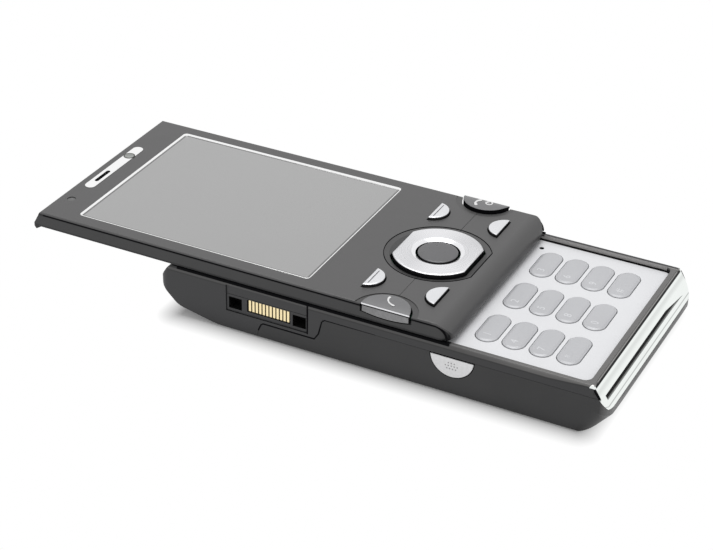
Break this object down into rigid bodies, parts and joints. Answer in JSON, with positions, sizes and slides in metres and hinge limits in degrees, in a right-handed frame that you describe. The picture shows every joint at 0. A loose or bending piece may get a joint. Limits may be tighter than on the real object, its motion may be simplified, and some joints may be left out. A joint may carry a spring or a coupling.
{
  "type": "slider phone",
  "caption": "Slider phone lying on its back, slid open: display and navigation keys on the upper half, number keypad on the lower half, with side keys, ports and a stand.",
  "frame": {"origin": "middle of the lower half's flat back face", "axes": "+Y towards the earpiece end, +X to the right seen from the front, +Z out of the screen; stored slid open, lying on its back"},
  "size_m": [0.0494, 0.129, 0.0158],
  "materials": {
    "housing_dark": "satin moulded plastic",
    "cover_dark": "soft satin plastic",
    "fascia_grey": "satin painted plastic",
    "slider_side": "satin plastic",
    "keypad_silver": "fine silver paint",
    "key_silver": "satin silver plastic",
    "trim_chrome": "mirror plated",
    "nav_silver": "radially brushed",
    "key_grey": "satin grey",
    "side_key_dark": "satin",
    "bright_line": "bright line",
    "window_glass": "clear window",
    "lens_glass": "dark lens",
    "display_panel": "unlit display",
    "black_plastic": "black",
    "contact_gold": "gold plated",
    "steel": "plain steel",
    "board_green": "solder mask",
    "dome_sheet": "clear film",
    "battery_case": "label film"
  },
  "bodies": {
    "phone_body": {"main_housing": "housing_dark", "keypad_plate": "keypad_silver", "key_dome_sheet": "dome_sheet", "main_board": "board_green", "shield_can": "steel", "battery": "battery_case", "sim_holder": "steel", "memory_card_socket": "steel", "end_trim": "trim_chrome", "end_speaker": "black_plastic", "connector_block": "black_plastic", "connector_contacts": "contact_gold", "headset_jack": "black_plastic", "camera_bezel": "steel", "camera_lens": "lens_glass", "camera_module": "board_green", "flash_lens": "lens_glass", "vibration_motor": "steel", "case_screws": "steel", "base_rail_plate": "steel"},
    "rear_cover": {"battery_cover": "cover_dark", "stand_pin": "steel"},
    "kickstand": {"stand": "steel"},
    "slider": {"slider_frame": "slider_side", "slider_back_plate": "steel", "front_plate_upper": "fascia_grey", "front_plate_lower": "fascia_grey", "display_window": "window_glass", "window_trim": "bright_line", "display_module": "display_panel", "earpiece_trim": "bright_line", "earpiece_receiver": "black_plastic", "front_camera": "lens_glass", "slider_key_board": "board_green", "flex_ribbon": "dome_sheet", "assist_spring": "steel"},
    "nav_tilt": {"nav_actuator": "steel"},
    "nav_ring_body": {"nav_ring": "nav_silver"},
    "centre_button": {"nav_centre_key": "key_grey"},
    "music_button": {"music_key": "trim_chrome"},
    "camera_button": {"camera_key": "side_key_dark"},
    "volume_button": {"volume_rocker": "side_key_dark"},
    "number_key_1_body": {"number_key_1": "key_silver"},
    "number_key_2_body": {"number_key_2": "key_silver"},
    "number_key_3_body": {"number_key_3": "key_silver"},
    "number_key_4_body": {"number_key_4": "key_silver"},
    "number_key_5_body": {"number_key_5": "key_silver"},
    "number_key_6_body": {"number_key_6": "key_silver"},
    "number_key_7_body": {"number_key_7": "key_silver"},
    "number_key_8_body": {"number_key_8": "key_silver"},
    "number_key_9_body": {"number_key_9": "key_silver"},
    "star_key_body": {"star_key": "key_silver"},
    "number_key_0_body": {"number_key_0": "key_silver"},
    "hash_key_body": {"hash_key": "key_silver"},
    "soft_key_left_body": {"soft_key_left": "nav_silver"},
    "soft_key_right_body": {"soft_key_right": "nav_silver"},
    "back_key_body": {"back_key": "nav_silver"},
    "clear_key_body": {"clear_key": "nav_silver"},
    "call_key_body": {"call_key": "key_grey"},
    "end_key_body": {"end_key": "key_grey"}
  },
  "joints": [
    {"name": "slider_slide", "type": "slide", "parent": "phone_body", "child": "slider", "axis": [0, 1, 0], "range_m": [-0.0309, 0]},
    {"name": "cover_lift_off", "type": "slide", "parent": "phone_body", "child": "rear_cover", "axis": [0, 0, -1], "range_m": [0, 0.02]},
    {"name": "stand_hinge", "type": "hinge", "parent": "rear_cover", "child": "kickstand", "pos_m": [-0.006, -0.015, 0.00052], "axis": [0, 1, 0], "range_deg": [0, 60]},
    {"name": "number_key_1_press", "type": "slide", "parent": "phone_body", "child": "number_key_1_body", "axis": [0, 0, -1], "range_m": [0, 0.0003], "stiffness_N_per_m": 600},
    {"name": "number_key_2_press", "type": "slide", "parent": "phone_body", "child": "number_key_2_body", "axis": [0, 0, -1], "range_m": [0, 0.0003], "stiffness_N_per_m": 600},
    {"name": "number_key_3_press", "type": "slide", "parent": "phone_body", "child": "number_key_3_body", "axis": [0, 0, -1], "range_m": [0, 0.0003], "stiffness_N_per_m": 600},
    {"name": "number_key_4_press", "type": "slide", "parent": "phone_body", "child": "number_key_4_body", "axis": [0, 0, -1], "range_m": [0, 0.0003], "stiffness_N_per_m": 600},
    {"name": "number_key_5_press", "type": "slide", "parent": "phone_body", "child": "number_key_5_body", "axis": [0, 0, -1], "range_m": [0, 0.0003], "stiffness_N_per_m": 600},
    {"name": "number_key_6_press", "type": "slide", "parent": "phone_body", "child": "number_key_6_body", "axis": [0, 0, -1], "range_m": [0, 0.0003], "stiffness_N_per_m": 600},
    {"name": "number_key_7_press", "type": "slide", "parent": "phone_body", "child": "number_key_7_body", "axis": [0, 0, -1], "range_m": [0, 0.0003], "stiffness_N_per_m": 600},
    {"name": "number_key_8_press", "type": "slide", "parent": "phone_body", "child": "number_key_8_body", "axis": [0, 0, -1], "range_m": [0, 0.0003], "stiffness_N_per_m": 600},
    {"name": "number_key_9_press", "type": "slide", "parent": "phone_body", "child": "number_key_9_body", "axis": [0, 0, -1], "range_m": [0, 0.0003], "stiffness_N_per_m": 600},
    {"name": "star_key_press", "type": "slide", "parent": "phone_body", "child": "star_key_body", "axis": [0, 0, -1], "range_m": [0, 0.0003], "stiffness_N_per_m": 600},
    {"name": "number_key_0_press", "type": "slide", "parent": "phone_body", "child": "number_key_0_body", "axis": [0, 0, -1], "range_m": [0, 0.0003], "stiffness_N_per_m": 600},
    {"name": "hash_key_press", "type": "slide", "parent": "phone_body", "child": "hash_key_body", "axis": [0, 0, -1], "range_m": [0, 0.0003], "stiffness_N_per_m": 600},
    {"name": "soft_key_left_press", "type": "slide", "parent": "slider", "child": "soft_key_left_body", "axis": [0, 0, -1], "range_m": [0, 0.0003], "stiffness_N_per_m": 600},
    {"name": "soft_key_right_press", "type": "slide", "parent": "slider", "child": "soft_key_right_body", "axis": [0, 0, -1], "range_m": [0, 0.0003], "stiffness_N_per_m": 600},
    {"name": "back_key_press", "type": "slide", "parent": "slider", "child": "back_key_body", "axis": [0, 0, -1], "range_m": [0, 0.0003], "stiffness_N_per_m": 600},
    {"name": "clear_key_press", "type": "slide", "parent": "slider", "child": "clear_key_body", "axis": [0, 0, -1], "range_m": [0, 0.0003], "stiffness_N_per_m": 600},
    {"name": "call_key_press", "type": "slide", "parent": "slider", "child": "call_key_body", "axis": [0, 0, -1], "range_m": [0, 0.0003], "stiffness_N_per_m": 600},
    {"name": "end_key_press", "type": "slide", "parent": "slider", "child": "end_key_body", "axis": [0, 0, -1], "range_m": [0, 0.0003], "stiffness_N_per_m": 600},
    {"name": "nav_tilt_up_down", "type": "hinge", "parent": "slider", "child": "nav_tilt", "pos_m": [0, -0.00185, 0.0139], "axis": [1, 0, 0], "range_deg": [-2, 2], "stiffness_Nm_per_rad": 0.05},
    {"name": "nav_tilt_left_right", "type": "hinge", "parent": "nav_tilt", "child": "nav_ring_body", "pos_m": [0, -0.00185, 0.0139], "axis": [0, 1, 0], "range_deg": [-2, 2], "stiffness_Nm_per_rad": 0.05},
    {"name": "nav_centre_key_press", "type": "slide", "parent": "slider", "child": "centre_button", "axis": [0, 0, -1], "range_m": [0, 0.0003], "stiffness_N_per_m": 600},
    {"name": "music_key_press", "type": "slide", "parent": "phone_body", "child": "music_button", "axis": [1, 0, 0], "range_m": [0, 0.0003], "stiffness_N_per_m": 600},
    {"name": "camera_key_press", "type": "slide", "parent": "phone_body", "child": "camera_button", "axis": [-1, 0, 0], "range_m": [0, 0.0003], "stiffness_N_per_m": 600},
    {"name": "volume_rocker_tilt", "type": "hinge", "parent": "phone_body", "child": "volume_button", "pos_m": [0.0216, 0.02, 0.0072], "axis": [0, 0, 1], "range_deg": [-1.2, 1.2], "stiffness_Nm_per_rad": 0.05}
  ]
}
